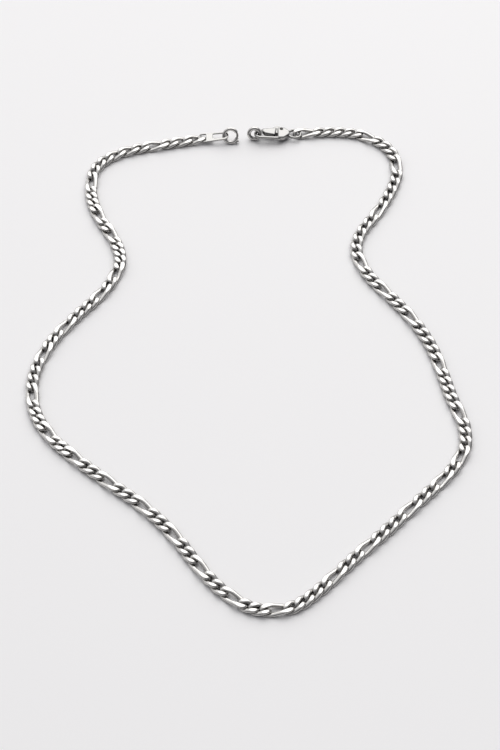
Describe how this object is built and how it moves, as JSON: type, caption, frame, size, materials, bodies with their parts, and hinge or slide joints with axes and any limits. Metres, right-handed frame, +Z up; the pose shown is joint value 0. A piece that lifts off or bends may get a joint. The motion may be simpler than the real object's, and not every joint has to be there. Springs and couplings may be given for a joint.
{
  "type": "figaro neck chain",
  "caption": "Polished silver figaro neck chain laid open, with a tag and bolt ring on one end and a lobster claw holding a jump ring on the other.",
  "frame": {"origin": "centre of the laid chain's box, on the surface it lies on", "axes": "+X to the right of the laid chain, +Y towards its back where the clasp lies, +Z up from the surface"},
  "size_m": [0.1404, 0.2028, 0.0051],
  "materials": {
    "polished_silver": "polished",
    "steel_pin": "satin"
  },
  "bodies": {
    "root": {"figaro_01": "polished_silver", "figaro_02": "polished_silver", "figaro_03": "polished_silver", "figaro_04": "polished_silver", "figaro_05": "polished_silver", "figaro_06": "polished_silver", "figaro_07": "polished_silver", "figaro_08": "polished_silver", "figaro_09": "polished_silver", "figaro_10": "polished_silver", "figaro_11": "polished_silver", "figaro_12": "polished_silver", "figaro_13": "polished_silver", "figaro_14": "polished_silver", "figaro_15": "polished_silver", "figaro_16": "polished_silver", "figaro_17": "polished_silver", "figaro_18": "polished_silver", "figaro_19": "polished_silver", "figaro_20": "polished_silver", "figaro_21": "polished_silver", "figaro_22": "polished_silver", "figaro_23": "polished_silver", "figaro_24": "polished_silver", "figaro_25": "polished_silver", "figaro_26": "polished_silver", "figaro_27": "polished_silver", "figaro_28": "polished_silver", "figaro_29": "polished_silver", "figaro_30": "polished_silver", "figaro_31": "polished_silver", "end_tag": "polished_silver", "bolt_ring": "polished_silver", "jump_ring": "polished_silver", "claw_body": "polished_silver", "claw_rivet": "steel_pin"},
    "gate": {"ring_gate": "polished_silver"},
    "lever": {"claw_lever": "polished_silver"}
  },
  "joints": [
    {"name": "gate_slide", "type": "hinge", "parent": "root", "child": "gate", "pos_m": [-0.006, 0.096, 0.00257], "axis": [0, 0.8192, -0.5736], "range_deg": [0, 58], "stiffness_Nm_per_rad": 0.00004},
    {"name": "lever_hinge", "type": "hinge", "parent": "root", "child": "lever", "pos_m": [0.0118, 0.09944, 0.00154], "axis": [0.0694, 0.1045, 0.9921], "range_deg": [0, 11], "stiffness_Nm_per_rad": 0.0002}
  ]
}
